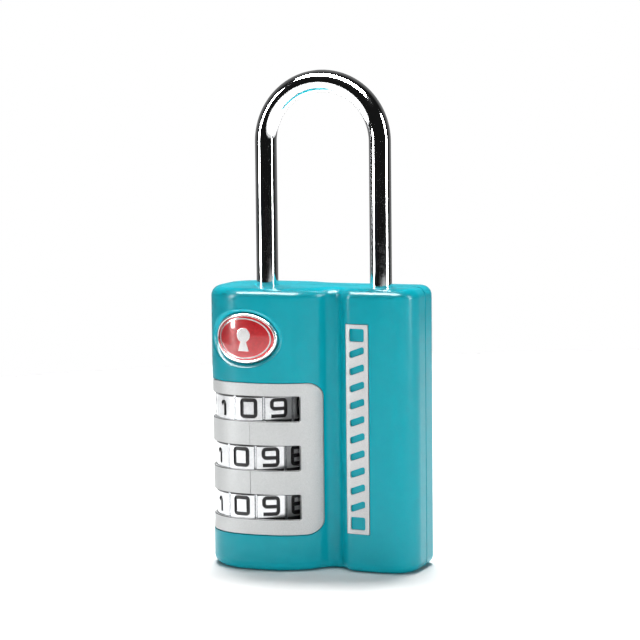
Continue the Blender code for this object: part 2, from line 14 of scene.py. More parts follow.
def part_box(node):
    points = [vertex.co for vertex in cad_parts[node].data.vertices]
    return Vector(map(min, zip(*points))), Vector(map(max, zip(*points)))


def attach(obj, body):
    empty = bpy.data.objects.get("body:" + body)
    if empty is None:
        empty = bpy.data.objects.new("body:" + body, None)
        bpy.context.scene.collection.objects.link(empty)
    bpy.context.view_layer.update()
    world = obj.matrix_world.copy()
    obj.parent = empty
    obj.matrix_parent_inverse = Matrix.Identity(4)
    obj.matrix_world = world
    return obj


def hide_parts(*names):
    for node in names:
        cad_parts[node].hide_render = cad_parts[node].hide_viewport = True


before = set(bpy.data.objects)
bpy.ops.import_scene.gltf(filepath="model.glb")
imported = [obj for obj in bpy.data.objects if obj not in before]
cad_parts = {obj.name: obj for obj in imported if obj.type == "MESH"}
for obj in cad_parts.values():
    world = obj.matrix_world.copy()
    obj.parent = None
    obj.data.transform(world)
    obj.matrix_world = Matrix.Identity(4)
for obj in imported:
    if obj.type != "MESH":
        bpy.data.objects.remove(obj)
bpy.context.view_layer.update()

MM = 0.001


def node_box(node):
    low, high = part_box(node)
    return low / MM, high / MM


# Sizes read from the frame

FRONT_LOW, FRONT_HIGH = node_box("front_shell")
BACK_LOW, BACK_HIGH = node_box("back_shell")
FASCIA_LOW, FASCIA_HIGH = node_box("dial_fascia")
BEZEL_LOW, BEZEL_HIGH = node_box("badge_bezel")
INLAY_LOW, INLAY_HIGH = node_box("side_inlay")
SHACKLE_LOW, SHACKLE_HIGH = node_box("shackle")
BARREL_LOW, BARREL_HIGH = node_box("cylinder_barrel")
LATCH_LOW, LATCH_HIGH = node_box("latch_bolt")
STOP_PIN_LOW, STOP_PIN_HIGH = node_box("shackle_stop_pin")
DIAL_BOXES = [node_box(f"dial_wheel_{n}") for n in (1, 2, 3)]

LEFT_X, RIGHT_X = FRONT_LOW.x, FRONT_HIGH.x
BODY_HEIGHT = FRONT_HIGH.z
BACK_Y = BACK_HIGH.y
SEAM_GAP = BACK_LOW.y - FRONT_HIGH.y
SEAM_Y = (BACK_LOW.y + FRONT_HIGH.y) / 2
DIAL_X = (DIAL_BOXES[0][0].x + DIAL_BOXES[0][1].x) / 2
AXIS_Y = (DIAL_BOXES[0][0].y + DIAL_BOXES[0][1].y) / 2
DIAL_Z = [(low.z + high.z) / 2 for low, high in DIAL_BOXES]
DIAL_HEIGHT = DIAL_BOXES[0][1].z - DIAL_BOXES[0][0].z
LOBE_R = DIAL_X - LEFT_X
FASCIA_Z = (FASCIA_LOW.z, FASCIA_HIGH.z)
FASCIA_RIGHT_X = FASCIA_HIGH.x
BADGE_X = (BEZEL_LOW.x + BEZEL_HIGH.x) / 2
BADGE_Z = (BEZEL_LOW.z + BEZEL_HIGH.z) / 2
BADGE_HALF = ((BEZEL_HIGH.x - BEZEL_LOW.x) / 2, (BEZEL_HIGH.z - BEZEL_LOW.z) / 2)
INLAY_X = (INLAY_LOW.x, INLAY_HIGH.x)
INLAY_Z = (INLAY_LOW.z, INLAY_HIGH.z)
WIRE_R = (SHACKLE_HIGH.y - SHACKLE_LOW.y) / 2
SHORT_LEG_X = SHACKLE_LOW.x + WIRE_R
LONG_LEG_X = SHACKLE_HIGH.x - WIRE_R
KEY = ((BARREL_LOW.x + BARREL_HIGH.x) / 2, (BARREL_LOW.y + BARREL_HIGH.y) / 2)
BARREL_R = (BARREL_HIGH.x - BARREL_LOW.x) / 2
LATCH_Z = (LATCH_LOW.z + LATCH_HIGH.z) / 2
LONG_LEG_END = SHACKLE_LOW.z

# Sizes that the frame's boxes don't show

BACK_RIGHT_Y = AXIS_Y + 6.3
BACK_CORNER_R = 4.6
BACK_RIGHT_CORNER_R = 2.2
BACK_STEP_X = 1.8
EDGE_R = 1.4
WALL = 1.0
PLATE = 1.2
SEAM_SHOWN = 0.14
LEG_HOLE_REACH = 5.0
EDGE_SOFT = 0.09
DIAL_R = 6.7
DIAL_BORE_R = 3.35
DIAL_BEVEL = 0.35
# How far each dial stands off its nearest digit, as in the photo
DIAL_REST_DEG = (2.6, -8.0, -8.0)
# Lower and upper end of the bright face of a dial; beyond them the wheel is painted black, as painted shade
# for the dark gap and shadow at the window edges
DIAL_LINES = (-1.66, 1.44)
DIGITS = 10
DIGIT_TURN = 360.0 / DIGITS
DIGIT_HALF = (0.99, 1.12)
FASCIA_INSET = 0.06
FASCIA_GAP = 0.13
FASCIA_THICKNESS = 0.3
FASCIA_CORNER_R = 1.8
WINDOW_HALF = 1.7
WINDOW_CORNER_R = 0.25
WINDOW_CHAMFER = 0.22
WINDOW_RIGHT_X = -0.5
WINDOW_BACK_Y = AXIS_Y - 0.6
DIAL_LEDGE = 0.9
BADGE_RIM = 0.42
BADGE_FLOOR_INSET = 0.62
DISC_HALF = (BADGE_HALF[0] - BADGE_RIM - 0.03, BADGE_HALF[1] - BADGE_RIM - 0.03)
LINE_SHARE = 0.9
KEYHOLE_INSET = 0.10
INLAY_PROUD = 0.09
INLAY_DEPTH = 0.3
RESET_R = 1.6
FIT = 0.1
FAR = 60.0
SHORT_LEG_END = 31.5
LATCH_BITE = 0.7
STOP_FLAT_DEPTH = 0.5
SHACKLE_LIFT = 9.0
STOP_FLAT_Z = (STOP_PIN_LOW.z - FIT - SHACKLE_LIFT, STOP_PIN_HIGH.z + 2 * FIT)
FRONT_Y = AXIS_Y - 9.0


# Materials


def node(tree, kind, x=0, y=0, **values):
    made = tree.nodes.new(kind)
    made.location = (x, y)
    for key, value in values.items():
        setattr(made, key, value)
    return made


class Paint:
    """A Principled material with helpers for the procedural detail."""

    def __init__(self, name, colour, roughness, metallic=0.0, **sockets):
        self.mat = bpy.data.materials.new(name)
        self.mat.use_nodes = True
        self.tree = self.mat.node_tree
        self.shader = self.tree.nodes["Principled BSDF"]
        self.colour, self.roughness = colour, roughness
        self.shader.inputs["Base Color"].default_value = (*colour, 1.0)
        self.shader.inputs["Roughness"].default_value = roughness
        self.shader.inputs["Metallic"].default_value = metallic
        for socket, value in sockets.items():
            self.shader.inputs[socket.replace("_", " ")].default_value = value
        self.mat.diffuse_color = (*colour, 1.0)
        self.place = node(self.tree, "ShaderNodeTexCoord", -1200, 0)

    def noise(self, size, detail=3.0, stretch=(1.0, 1.0, 1.0), y=0):
        """Noise whose features are about size millimetres across, in object space."""
        mapping = node(self.tree, "ShaderNodeMapping", -1000, y)
        mapping.inputs["Scale"].default_value = stretch
        made = node(self.tree, "ShaderNodeTexNoise", -800, y)
        made.inputs["Scale"].default_value = 1.0 / (size * MM)
        made.inputs["Detail"].default_value = detail
        self.tree.links.new(self.place.outputs["Object"], mapping.inputs["Vector"])
        self.tree.links.new(mapping.outputs["Vector"], made.inputs["Vector"])
        return made.outputs["Fac"]

    def spread(self, source, low, high, y=0):
        """Maps a 0.3 to 0.7 texture value to the range low to high."""
        made = node(self.tree, "ShaderNodeMapRange", -550, y)
        made.inputs["From Min"].default_value = 0.3
        made.inputs["From Max"].default_value = 0.7
        made.inputs["To Min"].default_value = low
        made.inputs["To Max"].default_value = high
        self.tree.links.new(source, made.inputs["Value"])
        return made.outputs["Result"]

    def vary_colour(self, source, darker, y=200):
        """Mixes the colour with a darker share of itself."""
        mix = node(self.tree, "ShaderNodeMix", -300, y, data_type="RGBA")
        mix.inputs[6].default_value = (*[c * darker for c in self.colour], 1.0)
        mix.inputs[7].default_value = (*self.colour, 1.0)
        self.tree.links.new(self.spread(source, 0.0, 1.0, y), mix.inputs[0])
        self.tree.links.new(mix.outputs[2], self.shader.inputs["Base Color"])
        return self

    def vary_roughness(self, source, amount, y=-100):
        low, high = self.roughness - amount, self.roughness + amount
        self.tree.links.new(self.spread(source, low, high, y), self.shader.inputs["Roughness"])
        return self

    def bump(self, source, depth, y=-400):
        """A bump whose full height is depth millimetres."""
        made = node(self.tree, "ShaderNodeBump", -300, y)
        made.inputs["Distance"].default_value = depth * MM
        self.tree.links.new(source, made.inputs["Height"])
        previous = self.shader.inputs["Normal"].links
        if previous:
            self.tree.links.new(previous[0].from_socket, made.inputs["Normal"])
        self.tree.links.new(made.outputs["Normal"], self.shader.inputs["Normal"])
        return self


def teal_paint():
    paint = Paint("shell_teal", (0.001, 0.300, 0.370), 0.34, Coat_Weight=0.25, Coat_Roughness=0.13)
    paint.shader.inputs["Specular IOR Level"].default_value = 0.05
    paint.vary_colour(paint.noise(2.5, 4.0), 0.95)
    paint.vary_roughness(paint.noise(0.8, 5.0), 0.03)
    paint.bump(paint.noise(0.5, 2.0), 0.0012)
    return paint.mat


def fascia_silver():
    paint = Paint("fascia_silver", (0.47, 0.48, 0.48), 0.50, 0.20)
    paint.vary_colour(paint.noise(0.10, 2.0), 0.80)
    paint.vary_roughness(paint.noise(0.3, 3.0), 0.06)
    paint.bump(paint.noise(0.09, 2.0), 0.002)
    return paint.mat


def chrome():
    paint = Paint("chrome", (0.86, 0.87, 0.88), 0.055, 1.0)
    paint.vary_colour(paint.noise(3.0, 4.0), 0.97)
    paint.vary_roughness(paint.noise(1.2, 5.0), 0.02)
    paint.bump(paint.noise(2.0, 1.0, (1.0, 1.0, 0.3)), 0.0008)
    return paint.mat


def dial_chrome():
    paint = Paint("dial_chrome", (0.62, 0.63, 0.64), 0.20, 1.0)
    paint.vary_colour(paint.noise(0.6, 4.0), 0.92)
    paint.vary_roughness(paint.noise(0.5, 4.0), 0.04)
    paint.bump(paint.noise(0.5, 2.0), 0.001)
    return paint.mat


# Black fill of the engraved numerals; the same black also paints shade on the window chamfers and the dial
# edges.
def digit_black():
    paint = Paint("digit_black", (0.006, 0.006, 0.007), 0.42)
    paint.vary_colour(paint.noise(0.2, 3.0), 0.6)
    paint.vary_roughness(paint.noise(0.3, 3.0), 0.08)
    return paint.mat


def red_enamel():
    paint = Paint("badge_red", (0.50, 0.006, 0.012), 0.25, Coat_Weight=1.0, Coat_Roughness=0.04)
    paint.vary_colour(paint.noise(0.25, 4.0), 0.70)
    paint.bump(paint.noise(0.35, 2.0), 0.004)
    return paint.mat


def badge_silver():
    paint = Paint("badge_silver", (0.83, 0.82, 0.82), 0.20, 0.9)
    paint.vary_colour(paint.noise(0.4, 3.0), 0.93)
    paint.vary_roughness(paint.noise(0.3, 3.0), 0.05)
    return paint.mat


def plain_metal(name, colour, roughness, grain=(1.0, 1.0, 0.08)):
    """Machined metal with fine grain drawn out along one axis."""
    paint = Paint(name, colour, roughness, 1.0)
    paint.vary_colour(paint.noise(0.4, 4.0, grain), 0.88)
    paint.vary_roughness(paint.noise(0.2, 3.0, grain), 0.07)
    paint.bump(paint.noise(0.15, 2.0, grain), 0.003)
    return paint.mat


def paper_white():
    paint = Paint("floor_white", (0.72, 0.72, 0.72), 0.75)
    paint.vary_colour(paint.noise(60.0, 2.0), 0.995)
    return paint.mat


MATERIALS = {
    "shell_teal": teal_paint(),
    "fascia_silver": fascia_silver(),
    "chrome": chrome(),
    "dial_chrome": dial_chrome(),
    "digit_black": digit_black(),
    "badge_red": red_enamel(),
    "badge_silver": badge_silver(),
    "steel": plain_metal("steel", (0.56, 0.57, 0.59), 0.30),
    "zinc": plain_metal("zinc", (0.50, 0.51, 0.53), 0.45, (1.0, 1.0, 1.0)),
    "brass": plain_metal("brass", (0.74, 0.55, 0.25), 0.28),
    "floor_white": paper_white(),
}


# Mesh helpers, in millimetres


def make_object(name, verts, faces, *materials):
    mesh = bpy.data.meshes.new(name)
    mesh.from_pydata([Vector(v) * MM for v in verts], [], faces)
    tidy = bmesh.new()
    tidy.from_mesh(mesh)
    bmesh.ops.recalc_face_normals(tidy, faces=tidy.faces)
    tidy.to_mesh(mesh)
    tidy.free()
    for material in materials:
        mesh.materials.append(MATERIALS[material])
    obj = bpy.data.objects.new(name, mesh)
    bpy.context.scene.collection.objects.link(obj)
    return obj


def skin(name, loops, *materials, ring=False):
    """Joins loops of equal length by quads: last to first too for a ring, else with flat end caps."""
    count = len(loops[0])
    verts = [point for loop in loops for point in loop]
    faces = []
    rows = list(range(len(loops)))
    pairs = list(zip(rows, rows[1:]))
    if ring:
        pairs.append((rows[-1], 0))
    else:
        faces.append(tuple(range(count)))
        faces.append(tuple(rows[-1] * count + i for i in range(count)))
    for a, b in pairs:
        for i in range(count):
            j = (i + 1) % count
            faces.append((a * count + i, a * count + j, b * count + j, b * count + i))
    return make_object(name, verts, faces, *materials)


def circle(cx, cy, z, radius, steps):
    turns = [2 * math.pi * i / steps for i in range(steps)]
    return [(cx + radius * math.cos(t), cy + radius * math.sin(t), z) for t in turns]


def turned(name, centre, profile, *materials, steps=96, ring=False):
    cx, cy = centre
    return skin(name, [circle(cx, cy, z, radius, steps) for radius, z in profile], *materials, ring=ring)


def box(name, low, high, *materials):
    (x0, y0, z0), (x1, y1, z1) = low, high
    base = ((x0, y0), (x1, y0), (x1, y1), (x0, y1))
    return skin(name, [[(x, y, z) for x, y in base] for z in (z0, z1)], *materials)


def prism(name, points, low, high, *materials, along="Y"):
    if along == "Y":
        loops = [[(x, level, z) for x, z in points] for level in (low, high)]
    else:
        loops = [[(x, y, level) for x, y in points] for level in (low, high)]
    return skin(name, loops, *materials)


def boolean(obj, operation, *others, crossing=False):
    for other in others:
        modifier = obj.modifiers.new("boolean", "BOOLEAN")
        modifier.operation = operation
        modifier.solver = "EXACT"
        modifier.use_self = crossing
        modifier.material_mode = "TRANSFER" if other.material_slots else "INDEX"
        modifier.object = other
    bpy.context.view_layer.update()
    graph = bpy.context.evaluated_depsgraph_get()
    mesh = bpy.data.meshes.new_from_object(obj.evaluated_get(graph))
    obj.modifiers.clear()
    old = obj.data
    obj.data = mesh
    mesh.name = old.name
    bpy.data.meshes.remove(old)
    for other in others:
        bpy.data.objects.remove(other)
    return obj


def cut(obj, *others, crossing=False):
    return boolean(obj, "DIFFERENCE", *others, crossing=crossing)


def keep(obj, other):
    return boolean(obj, "INTERSECT", other)


def soften(obj, width, segments=2, sharper=35.0, where=None, paint=-1):
    """Rounds the edges that turn by more than sharper degrees; paint is the new faces' material slot."""
    work = bmesh.new()
    work.from_mesh(obj.data)
    bmesh.ops.remove_doubles(work, verts=work.verts, dist=0.002 * MM)
    bmesh.ops.dissolve_degenerate(work, edges=work.edges, dist=0.002 * MM)
    limit = math.radians(sharper)
    edges = []
    for edge in work.edges:
        if len(edge.link_faces) != 2 or edge.calc_face_angle(0.0) < limit:
            continue
        middle = (edge.verts[0].co + edge.verts[1].co) / 2 / MM
        if where is None or where(middle):
            edges.append(edge)
    bmesh.ops.bevel(
        work, geom=edges, offset=width * MM, offset_type="OFFSET", segments=segments,
        profile=0.5, affect="EDGES", clamp_overlap=True, miter_outer="ARC", material=paint,
    )
    work.to_mesh(obj.data)
    work.free()
    return obj


def smooth(obj, angle=35.0):
    obj.data.shade_smooth()
    obj.data.set_sharp_from_angle(angle=math.radians(angle))
    return obj


def coordinates(obj):
    co = np.empty(len(obj.data.vertices) * 3)
    obj.data.vertices.foreach_get("co", co)
    return co.reshape(-1, 3) / MM


def set_normals(obj, exact, on, agree=0.9):
    """Uses the exact normal at the vertices marked in on, where it agrees with that of the face."""
    smooth(obj)
    mesh = obj.data
    corner_vert = np.empty(len(mesh.loops), int)
    mesh.loops.foreach_get("vertex_index", corner_vert)
    corners = np.empty(len(mesh.loops) * 3)
    mesh.corner_normals.foreach_get("vector", corners)
    corners = corners.reshape(-1, 3)
    face_normals = np.empty(len(mesh.polygons) * 3)
    mesh.polygons.foreach_get("normal", face_normals)
    totals = np.empty(len(mesh.polygons), int)
    mesh.polygons.foreach_get("loop_total", totals)
    corner_face = np.repeat(face_normals.reshape(-1, 3), totals, axis=0)
    wanted = exact[corner_vert]
    use = on[corner_vert] & ((wanted * corner_face).sum(1) > agree)
    corners[use] = wanted[use]
    mesh.normals_split_custom_set([tuple(n) for n in corners])


# Body outline, seen from above


def facing(degrees):
    """Outward normal at a heading: 0 faces -Y, 90 faces +X."""
    turn = math.radians(degrees)
    return math.sin(turn), -math.cos(turn)


def outline(inset, step=3.0):
    """Plan of the body moved inwards by inset, as (x, y, heading) points."""
    wave = 30.0
    wave_r = (BACK_Y - BACK_RIGHT_Y) / 2 / (1 - math.cos(math.radians(wave)))
    route = (
        ("arc", LOBE_R, -8),
        ("arc", 20.0, 5),
        ("arc", 8.6, 58),
        ("arc", -1.5, -58),
        ("arc", 2.5, -8),
        ("arc", 22.0, 6),
        ("corner", RIGHT_X, 90),
        ("to_y", BACK_RIGHT_Y - BACK_RIGHT_CORNER_R, 90),
        ("arc", BACK_RIGHT_CORNER_R, 180),
        ("to_x", BACK_STEP_X, 180),
        ("arc", -wave_r, 180 - wave),
        ("arc", wave_r, 180),
        ("to_x", LEFT_X + BACK_CORNER_R, 180),
        ("arc", BACK_CORNER_R, 270),
    )
    x, y, heading = LEFT_X, AXIS_Y, -90.0
    points = [(x + inset, y, heading)]
    for kind, value, end in route:
        nx, ny = facing(heading)
        if kind in ("to_x", "to_y"):
            x, y = (value, y) if kind == "to_x" else (x, value)
            points.append((x - inset * nx, y - inset * ny, heading))
            continue
        radius = (value - x) / (1 - nx) if kind == "corner" else value
        cx, cy = x - radius * nx, y - radius * ny
        steps = max(2, math.ceil(abs(end - heading) / step))
        for i in range(1, steps + 1):
            turn = heading + (end - heading) * i / steps
            mx, my = facing(turn)
            points.append((cx + (radius - inset) * mx, cy + (radius - inset) * my, turn))
        x, y, heading = cx + radius * mx, cy + radius * my, float(end)
    return points


def plan(inset, z, step=3.0):
    return [(x, y, z) for x, y, _ in outline(inset, step)]


FINE_PLAN = np.array(outline(0.0, 1.0))


def surface_at(points):
    """For each (x, y): how far inside the outline it lies, and the outward heading of the wall there."""
    start = FINE_PLAN[:, :2]
    end = np.roll(start, -1, axis=0)
    side = end - start
    length2 = np.maximum((side ** 2).sum(1), 1e-12)
    offset = points[:, None, :] - start[None]
    share = np.clip((offset * side[None]).sum(2) / length2[None], 0, 1)
    gap = offset - share[..., None] * side[None]
    distance = np.sqrt((gap ** 2).sum(2))
    nearest = distance.argmin(1)
    rows = np.arange(len(points))
    turn0 = FINE_PLAN[nearest, 2]
    turn1 = np.roll(FINE_PLAN[:, 2], -1)[nearest]
    delta = (turn1 - turn0 + 180) % 360 - 180
    turn = np.radians(turn0 + delta * share[rows, nearest])
    normal = np.stack([np.sin(turn), -np.cos(turn)], 1)
    inside = -(gap[rows, nearest] * normal).sum(1)
    return inside, normal


def true_normals(obj, inset=0.0, rounded_ends=True):
    """Gives the faces that follow the body's surface its exact normals, so they shade without facets."""
    co = coordinates(obj)
    inside, wall = surface_at(co[:, :2])
    inside = inside - inset
    above = co[:, 2] - (BODY_HEIGHT - EDGE_R)
    below = EDGE_R - co[:, 2]
    rise = np.zeros(len(co))
    if rounded_ends:
        rise = np.where(above > 0, above, np.where(below > 0, -below, 0.0))
    run = EDGE_R - inside
    flat = run <= 0
    on_fillet = np.arctan2(rise, np.maximum(run, 1e-9))
    tilt = np.where(flat & (rise != 0), np.sign(rise) * math.pi / 2, on_fillet)
    off_fillet = np.abs(np.hypot(run, rise) - EDGE_R)
    off_end = np.abs(np.abs(rise) - EDGE_R)
    off = np.where(rise == 0, np.abs(inside), np.where(flat, off_end, off_fillet))
    normal = np.column_stack([wall * np.cos(tilt)[:, None], np.sin(tilt)])
    set_normals(obj, normal, off < 0.012, agree=0.62)


def on_wall(points, inset):
    """Places X-Z points on the front wall moved inwards by inset."""
    wall = [point for point in outline(inset, 1.0) if point[2] < 60.0]
    across, depth = [point[0] for point in wall], [point[1] for point in wall]
    return [(x, float(np.interp(x, across, depth)), z) for x, z in points]


def wall_band(name, outer_inset, inner_inset, low, high, *materials, step=3.0):
    corners = ((outer_inset, low), (outer_inset, high), (inner_inset, high), (inner_inset, low))
    return skin(name, [plan(inset, z, step) for inset, z in corners], *materials, ring=True)


def rounded_end(left, right, low, high, radius, steps=10):
    """An X-Z outline, square on the left and rounded on the right."""
    points = [(left, high), (left, low)]
    for cz, start in ((low + radius, -90), (high - radius, 0)):
        for i in range(steps + 1):
            t = math.radians(start + 90 * i / steps)
            points.append((right - radius + radius * math.cos(t), cz + radius * math.sin(t)))
    return points


def ellipse(cx, cz, half_width, half_height, steps=72):
    turns = [2 * math.pi * i / steps for i in range(steps)]
    return [(cx + half_width * math.cos(t), cz + half_height * math.sin(t)) for t in turns]


# Housing


def body_block(name):
    steps = 8
    turns = [math.pi / 2 * i / steps for i in range(steps + 1)]
    edge = [(EDGE_R * (1 - math.sin(t)), EDGE_R * (1 - math.cos(t))) for t in turns]
    loops = [plan(inset, z) for inset, z in edge]
    loops += [plan(inset, BODY_HEIGHT - z) for inset, z in reversed(edge)]
    return skin(name, loops, "shell_teal")


def interior(name):
    return skin(name, [plan(WALL, z, 6.0) for z in (PLATE, BODY_HEIGHT - PLATE)])


def well(name, centre, radius, low, high):
    return turned(name, centre, ((radius, low), (radius, high)), steps=64)


def base_holes(shell):
    cut(shell, well("barrel_hole", KEY, BARREL_R + FIT, -1.0, 2 * PLATE))
    cut(shell, well("reset_hole", (DIAL_X, AXIS_Y), RESET_R + 1.5 * FIT, -1.0, 2 * PLATE))


def badge_dish():
    """Cutter for the sloped recess round the badge; levels are (wider, taller, inset from the wall)."""
    width, height = BADGE_HALF
    levels = (
        (1.10, 0.80, -0.15),
        (0.95, 0.68, 0.0),
        (0.62, 0.50, 0.16),
        (0.22, 0.20, 0.46),
        (FIT, FIT, BADGE_FLOOR_INSET),
    )
    rims = [ellipse(BADGE_X, BADGE_Z, width + wide, height + tall) for wide, tall, _ in levels]
    loops = [[(x, FRONT_Y, z) for x, z in rims[0]]]
    loops += [on_wall(rim, inset) for rim, (_, _, inset) in zip(rims, levels)]
    loops.append([(x, AXIS_Y - 3.2, z) for x, z in rims[-1]])
    return skin("badge_dish", loops)


def front_shell():
    shell = body_block("shell_front_fine")
    cut(shell, interior("front_interior"))
    cut(shell, box("front_trim", (-FAR, SEAM_Y - SEAM_GAP / 2 - SEAM_SHOWN, -FAR), (FAR, FAR, FAR)))
    gap = FASCIA_GAP
    low, high = FASCIA_Z
    depth = FASCIA_INSET + FASCIA_THICKNESS + gap
    seat = wall_band("fascia_seat", -1.0, depth, low - 2.0, high + 2.0)
    footprint = rounded_end(-FAR, FASCIA_RIGHT_X + gap, low - gap, high + gap, FASCIA_CORNER_R + gap)
    keep(seat, prism("fascia_seat_edge", footprint, FRONT_Y, FAR))
    cut(shell, seat)
    corner = (FASCIA_RIGHT_X - DIAL_LEDGE, FAR, high - DIAL_LEDGE)
    cut(shell, box("dial_opening", (-FAR, -FAR, low + DIAL_LEDGE), corner))

    for x in (SHORT_LEG_X, LONG_LEG_X):
        hole_low, hole_high = BODY_HEIGHT - LEG_HOLE_REACH, BODY_HEIGHT + LEG_HOLE_REACH
        cut(shell, well("leg_hole", (x, AXIS_Y), WIRE_R + FIT, hole_low, hole_high))
    base_holes(shell)
    cut(shell, badge_dish())

    pocket = wall_band("inlay_pocket", -1.0, INLAY_DEPTH, INLAY_Z[0] - FIT, INLAY_Z[1] + FIT)
    keep(pocket, box("pocket_edge", (INLAY_X[0] - FIT, -FAR, 0), (INLAY_X[1] + FIT, -1, FAR)))
    cut(shell, pocket)

    soften(shell, EDGE_SOFT, where=near_surface)
    true_normals(shell)
    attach(shell, "housing")
    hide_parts("front_shell")


def near_surface(middle):
    """Edges on the outside of the body get rounded, edges inside it stay as they are."""
    inside, _ = surface_at(np.array([[middle.x, middle.y]]))
    on_end = middle.z < 0.02 or middle.z > BODY_HEIGHT - 0.02
    return on_end or inside[0] < 0.02


def back_shell():
    shell = body_block("shell_back_fine")
    cut(shell, interior("back_interior"))
    cut(shell, box("back_trim", (-FAR, -FAR, -FAR), (FAR, SEAM_Y + SEAM_GAP / 2, FAR)))
    low, high = FASCIA_Z[0] + DIAL_LEDGE, FASCIA_Z[1] - 0.6
    cut(shell, well("dial_room", (DIAL_X, AXIS_Y), DIAL_R + 0.12, low, high))
    base_holes(shell)
    for n in (1, 2, 3):
        rivet_low, rivet_high = node_box(f"housing_rivet_{n}")
        x, z = (rivet_low.x + rivet_high.x) / 2, (rivet_low.z + rivet_high.z) / 2
        hole = circle(x, z, 0.0, (rivet_high.x - rivet_low.x) / 2 + FIT, 48)
        cut(shell, prism("rivet_hole", [(px, pz) for px, pz, _ in hole], 3.0, FAR))
    soften(shell, EDGE_SOFT, where=near_surface)
    true_normals(shell)
    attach(shell, "housing")
    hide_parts("back_shell")


def dial_fascia():
    inner = FASCIA_INSET + FASCIA_THICKNESS
    plate = wall_band("fascia_fine", FASCIA_INSET, inner, *FASCIA_Z, "fascia_silver", "digit_black")
    footprint = rounded_end(-FAR, FASCIA_RIGHT_X, FASCIA_Z[0], FASCIA_Z[1], FASCIA_CORNER_R)
    keep(plate, prism("fascia_edge", footprint, FRONT_Y, FASCIA_HIGH.y))
    for z in DIAL_Z:
        hole = rounded_end(-FAR, WINDOW_RIGHT_X, z - WINDOW_HALF, z + WINDOW_HALF, WINDOW_CORNER_R, 5)
        cut(plate, prism("window", hole, FRONT_Y, WINDOW_BACK_Y))
    cut_index_lines(plate)
    # The window chamfers take the black material: painted shade for the dark gap and shadow round the
    # dials.
    soften(plate, WINDOW_CHAMFER, 1, where=window_edge, paint=1)
    soften(plate, 0.06, where=fascia_rim)
    true_normals(plate, FASCIA_INSET, rounded_ends=False)
    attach(plate, "housing")
    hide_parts("dial_fascia")


def window_cheek():
    """Silver wall that closes the gap between the fascia and the dials at the right end of the windows."""
    clear = 0.05
    back = FASCIA_INSET + FASCIA_THICKNESS + 0.04
    left, right = WINDOW_RIGHT_X + clear, FASCIA_RIGHT_X - DIAL_LEDGE - clear
    low, high = FASCIA_Z[0] + DIAL_LEDGE + clear, FASCIA_Z[1] - DIAL_LEDGE - clear
    edge = [(left + (right - left) * k / 8, 0.0) for k in range(9)]
    beside_dials = [(right, -2.0), (-1.25, -2.0), (-1.70, -3.35)]
    points = [(x, y) for x, y, _ in on_wall(edge, back)] + beside_dials
    cheek = prism("window_cheek", points, low, high, "fascia_silver", along="Z")
    soften(cheek, 0.05)
    smooth(cheek)
    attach(cheek, "housing")


def window_edge(middle, near=0.05):
    """Outer edges of the dial windows, whose chamfer is painted black as shade for the gap round the dials.
    """
    beside = [abs(middle.z - z) < WINDOW_HALF + near for z in DIAL_Z]
    return any(beside) and middle.x < WINDOW_RIGHT_X + near and outer_edge(middle, FASCIA_INSET)


def fascia_rim(middle):
    """Outer edges of the fascia that are clear of the windows and of their chamfer."""
    return outer_edge(middle, FASCIA_INSET) and not window_edge(middle, 0.4)


def outer_edge(middle, inset):
    inside, _ = surface_at(np.array([[middle.x, middle.y]]))
    return abs(inside[0] - inset) < 0.02


def cut_index_lines(plate):
    """A fine engraved line on the bars between the windows marks where the digits are read."""
    heading, width, depth = 4.8, 0.13, 0.09
    nx, ny = facing(heading)
    wedge = []
    for along, out in ((-width / 2, 0.3), (width / 2, 0.3), (0.0, -depth)):
        reach = LOBE_R - FASCIA_INSET + out
        wedge.append((DIAL_X + reach * nx - along * ny, AXIS_Y + reach * ny + along * nx))
    for upper, lower in zip(DIAL_Z, DIAL_Z[1:]):
        span = (lower + WINDOW_HALF + 0.12, upper - WINDOW_HALF - 0.12)
        cut(plate, prism("index_line", wedge, *span, along="Z"))


# Badge, inlay and trim


def badge_loop(width, height, inset, steps=72):
    return on_wall(ellipse(BADGE_X, BADGE_Z, width, height, steps), inset)


def badge_ring(name, half_line, deep, shallow, material):
    """A thin oval ring on the badge: the enamel's channel, or the line laid in it."""
    width, height = [size * LINE_SHARE for size in DISC_HALF]
    outer = (width + half_line, height + half_line)
    inner = (width - half_line, height - half_line)
    rows = [badge_loop(*outer, deep, 96), badge_loop(*outer, shallow, 96)]
    rows += [badge_loop(*inner, shallow, 96), badge_loop(*inner, deep, 96)]
    return skin(name, rows, material, ring=True)


def badge_bezel():
    """The silver bezel, with the seat of the enamel; levels are (shrink, inset)."""
    width, height = BADGE_HALF
    levels = (
        (0.0, 0.40),
        (0.05, 0.28),
        (0.14, 0.20),
        (0.30, 0.17),
        (BADGE_RIM - 0.04, 0.22),
        (BADGE_RIM, 0.34),
        (BADGE_RIM, BADGE_FLOOR_INSET),
    )
    loops = [[(x, AXIS_Y - 3.0, z) for x, z in ellipse(BADGE_X, BADGE_Z, width, height)]]
    loops += [badge_loop(width - shrink, height - shrink, inset) for shrink, inset in levels]
    floor_half = (width - BADGE_RIM, height - BADGE_RIM)
    for share in (0.8, 0.5, 0.2):
        loops.append(badge_loop(floor_half[0] * share, floor_half[1] * share, BADGE_FLOOR_INSET))
    bezel = smooth(skin("bezel_fine", loops, "badge_silver"), 40)
    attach(bezel, "housing")
    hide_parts("badge_bezel")


def badge_enamel():
    """The domed red disc; levels are (share of its width, inset)."""
    levels = (
        (1.0, 0.60),
        (1.0, 0.38),
        (0.985, 0.33),
        (0.95, 0.29),
        (0.85, 0.25),
        (0.65, 0.21),
        (0.4, 0.19),
        (0.15, 0.18),
    )
    width, height = DISC_HALF
    loops = [badge_loop(width * share, height * share, inset) for share, inset in levels]
    enamel = skin("enamel_fine", loops, "badge_red")
    cut(enamel, badge_ring("enamel_line", 0.11, 0.5, -0.2, "badge_red"))
    smooth(enamel, 40)
    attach(enamel, "housing")
    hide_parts("badge_enamel")


